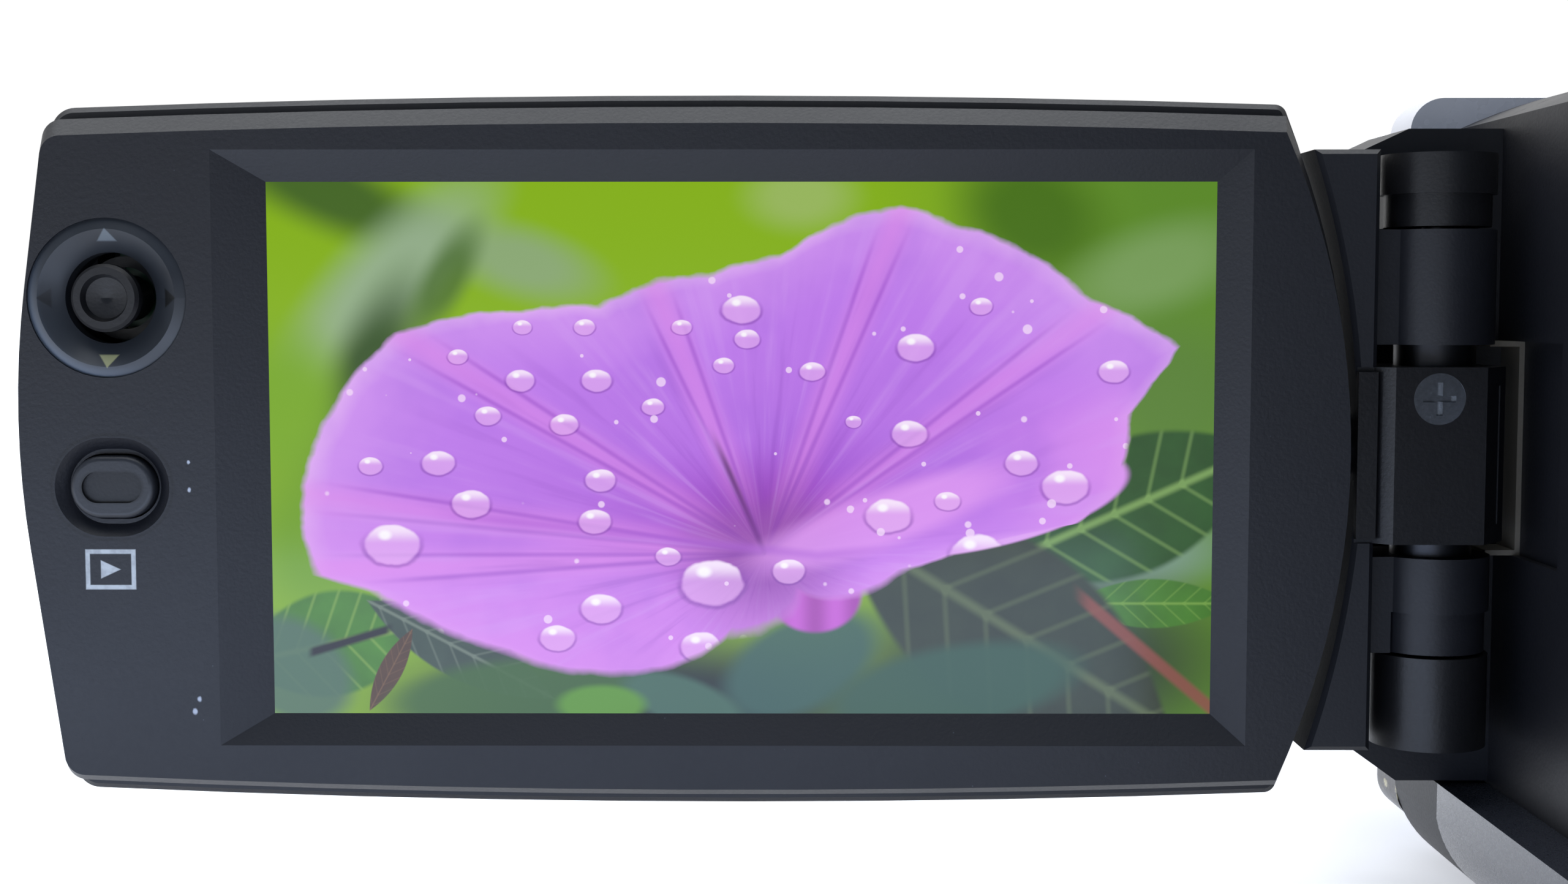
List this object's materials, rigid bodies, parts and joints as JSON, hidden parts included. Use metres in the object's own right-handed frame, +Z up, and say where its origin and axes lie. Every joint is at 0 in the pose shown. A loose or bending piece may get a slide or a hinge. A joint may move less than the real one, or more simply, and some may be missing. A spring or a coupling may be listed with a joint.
{
  "type": "camcorder",
  "caption": "Palm camcorder with its viewing panel swung out on a two-axis hinge, small joystick and play key on the panel, zoom lens, slide-on battery and padded hand strap.",
  "frame": {"origin": "centre of the tripod socket's mouth in the flat base", "axes": "+Y forward along the lens, +X to the grip side, +Z up; the opened panel reaches out along -X with its screen facing -Y"},
  "size_m": [0.1594, 0.1417, 0.0614],
  "materials": {
    "left_casing": "fine satin grain",
    "right_casing": "satin silver paint",
    "top_cover": "satin silver paint",
    "bottom_cover": "satin silver paint",
    "front_housing": "fine satin grain",
    "chrome_band": "polished",
    "front_ring": "bright silver",
    "lens_bezel": "gloss black",
    "microphone_grille": "black",
    "lamp_window": "smoky red",
    "rear_cover": "fine satin grain",
    "chassis_plate": "pressed",
    "tripod_socket": "machined",
    "casing_screws": "zinc",
    "lens_tube": "matt",
    "front_lens": "coated",
    "fixed_lens_group": "coated",
    "guide_shafts": "ground",
    "sensor_block": "moulded",
    "main_board": "solder mask",
    "jack_block": "moulded",
    "speaker_grille": "moulded",
    "strap_bars": "plated",
    "strap_webbing": "woven nylon",
    "strap_pad": "padded",
    "hinge_mount": "satin",
    "hinge_pin": "ground",
    "hinge_slot_trim": "satin",
    "hinge_bracket": "dark plated",
    "hinge_cover_front": "fine satin grain",
    "hinge_cover_rear": "fine satin grain",
    "hinge_block": "satin",
    "hinge_screw": "black zinc",
    "lcd_bezel": "fine satin grain",
    "lcd_back_cover": "fine satin grain",
    "display_cell": "lit picture",
    "display_backlight": "white",
    "display_frame": "pressed",
    "panel_board": "solder mask",
    "tilt_shaft": "ground",
    "lcd_screws": "black zinc",
    "joystick_ring": "smoky translucent",
    "joystick_gimbal": "moulded",
    "joystick_rocker": "moulded",
    "joystick_cap": "satin",
    "play_button": "satin",
    "power_button": "satin",
    "photo_button": "satin",
    "record_button": "satin",
    "zoom_lever": "satin",
    "mode_dial": "ribbed",
    "card_door": "fine satin grain",
    "terminal_cover": "fine satin grain",
    "battery_pack": "satin",
    "battery_latch": "ribbed",
    "lens_cover_switch": "ribbed",
    "upper_lens_blade": "black",
    "lower_lens_blade": "black",
    "zoom_lens_carrier": "moulded with glass",
    "focus_lens_carrier": "moulded with glass"
  },
  "bodies": {
    "camera_body": {"left_casing": "left_casing", "right_casing": "right_casing", "top_cover": "top_cover", "bottom_cover": "bottom_cover", "front_housing": "front_housing", "chrome_band": "chrome_band", "front_ring": "front_ring", "lens_bezel": "lens_bezel", "microphone_grille": "microphone_grille", "lamp_window": "lamp_window", "rear_cover": "rear_cover", "chassis_plate": "chassis_plate", "tripod_socket": "tripod_socket", "casing_screws": "casing_screws", "lens_tube": "lens_tube", "front_lens": "front_lens", "fixed_lens_group": "fixed_lens_group", "guide_shafts": "guide_shafts", "sensor_block": "sensor_block", "main_board": "main_board", "jack_block": "jack_block", "speaker_grille": "speaker_grille", "strap_bars": "strap_bars", "strap_webbing": "strap_webbing", "strap_pad": "strap_pad", "hinge_mount": "hinge_mount", "hinge_pin": "hinge_pin", "hinge_slot_trim": "hinge_slot_trim"},
    "swing_hinge": {"hinge_bracket": "hinge_bracket", "hinge_cover_front": "hinge_cover_front", "hinge_cover_rear": "hinge_cover_rear", "hinge_block": "hinge_block", "hinge_screw": "hinge_screw"},
    "viewing_panel": {"lcd_bezel": "lcd_bezel", "lcd_back_cover": "lcd_back_cover", "display_cell": "display_cell", "display_backlight": "display_backlight", "display_frame": "display_frame", "panel_board": "panel_board", "tilt_shaft": "tilt_shaft", "lcd_screws": "lcd_screws", "joystick_ring": "joystick_ring"},
    "stick_gimbal": {"joystick_gimbal": "joystick_gimbal"},
    "stick_rocker": {"joystick_rocker": "joystick_rocker"},
    "stick_cap": {"joystick_cap": "joystick_cap"},
    "play_key": {"play_button": "play_button"},
    "power_key": {"power_button": "power_button"},
    "photo_key": {"photo_button": "photo_button"},
    "record_key": {"record_button": "record_button"},
    "zoom_rocker": {"zoom_lever": "zoom_lever"},
    "dial": {"mode_dial": "mode_dial"},
    "card_hatch": {"card_door": "card_door"},
    "terminal_hatch": {"terminal_cover": "terminal_cover"},
    "battery": {"battery_pack": "battery_pack"},
    "latch": {"battery_latch": "battery_latch"},
    "cover_slider": {"lens_cover_switch": "lens_cover_switch"},
    "upper_blade": {"upper_lens_blade": "upper_lens_blade"},
    "lower_blade": {"lower_lens_blade": "lower_lens_blade"},
    "zoom_group": {"zoom_lens_carrier": "zoom_lens_carrier"},
    "focus_group": {"focus_lens_carrier": "focus_lens_carrier"}
  },
  "joints": [
    {"name": "lcd_swing", "type": "hinge", "parent": "camera_body", "child": "swing_hinge", "pos_m": [-0.0186, 0.03, 0.0324], "axis": [0, 0, -1], "range_deg": [-90, 0]},
    {"name": "lcd_tilt", "type": "hinge", "parent": "swing_hinge", "child": "viewing_panel", "pos_m": [-0.03, 0.03, 0.0324], "axis": [1, 0, 0], "range_deg": [-180, 90]},
    {"name": "stick_up_down", "type": "hinge", "parent": "viewing_panel", "child": "stick_gimbal", "pos_m": [-0.1041, 0.029, 0.042], "axis": [1, 0, 0], "range_deg": [-5, 5], "stiffness_Nm_per_rad": 0.02},
    {"name": "stick_left_right", "type": "hinge", "parent": "stick_gimbal", "child": "stick_rocker", "pos_m": [-0.1041, 0.029, 0.042], "axis": [0, 0, 1], "range_deg": [-5, 5], "stiffness_Nm_per_rad": 0.02},
    {"name": "stick_press", "type": "slide", "parent": "stick_rocker", "child": "stick_cap", "axis": [0, 1, 0], "range_m": [0, 0.0003], "stiffness_N_per_m": 800},
    {"name": "play_press", "type": "slide", "parent": "viewing_panel", "child": "play_key", "axis": [0, 1, 0], "range_m": [0, 0.0004], "stiffness_N_per_m": 600},
    {"name": "power_press", "type": "slide", "parent": "camera_body", "child": "power_key", "axis": [1, 0, 0], "range_m": [0, 0.0005], "stiffness_N_per_m": 600},
    {"name": "photo_press", "type": "slide", "parent": "camera_body", "child": "photo_key", "axis": [0, 0, -1], "range_m": [0, 0.0006], "stiffness_N_per_m": 600},
    {"name": "record_press", "type": "slide", "parent": "camera_body", "child": "record_key", "axis": [0, 1, 0], "range_m": [0, 0.0008], "stiffness_N_per_m": 500},
    {"name": "zoom_rock", "type": "hinge", "parent": "camera_body", "child": "zoom_rocker", "pos_m": [0.008, -0.044, 0.058], "axis": [0, 0, 1], "range_deg": [-15, 15], "stiffness_Nm_per_rad": 0.08},
    {"name": "mode_turn", "type": "hinge", "parent": "camera_body", "child": "dial", "pos_m": [0.019, -0.063, 0.02], "axis": [0, 1, 0], "range_deg": [-40, 40]},
    {"name": "card_door_swing", "type": "hinge", "parent": "camera_body", "child": "card_hatch", "pos_m": [-0.0131, -0.018, 0.0121], "axis": [0, -1, 0], "range_deg": [0, 95]},
    {"name": "terminal_cover_swing", "type": "hinge", "parent": "camera_body", "child": "terminal_hatch", "pos_m": [-0.0131, -0.029, 0.0276], "axis": [0, -1, 0], "range_deg": [0, 95]},
    {"name": "battery_slide", "type": "slide", "parent": "camera_body", "child": "battery", "axis": [0, 0, 1], "range_m": [0, 0.016]},
    {"name": "latch_slide", "type": "slide", "parent": "camera_body", "child": "latch", "axis": [1, 0, 0], "range_m": [-0.002, 0], "stiffness_N_per_m": 300},
    {"name": "cover_switch_slide", "type": "slide", "parent": "camera_body", "child": "cover_slider", "axis": [0, 0, 1], "range_m": [0, 0.004]},
    {"name": "upper_blade_slide", "type": "slide", "parent": "camera_body", "child": "upper_blade", "axis": [0, 0, -1], "range_m": [0, 0.0118]},
    {"name": "lower_blade_slide", "type": "slide", "parent": "camera_body", "child": "lower_blade", "axis": [0, 0, 1], "range_m": [0, 0.0118]},
    {"name": "zoom_lens_slide", "type": "slide", "parent": "camera_body", "child": "zoom_group", "axis": [0, 1, 0], "range_m": [-0.006, 0.009]},
    {"name": "focus_lens_slide", "type": "slide", "parent": "camera_body", "child": "focus_group", "axis": [0, 1, 0], "range_m": [-0.004, 0.002]}
  ],
  "couplings": [
    {"joint": "upper_blade_slide", "follows": "cover_switch_slide", "ratio": 2.95},
    {"joint": "lower_blade_slide", "follows": "cover_switch_slide", "ratio": 2.95}
  ]
}
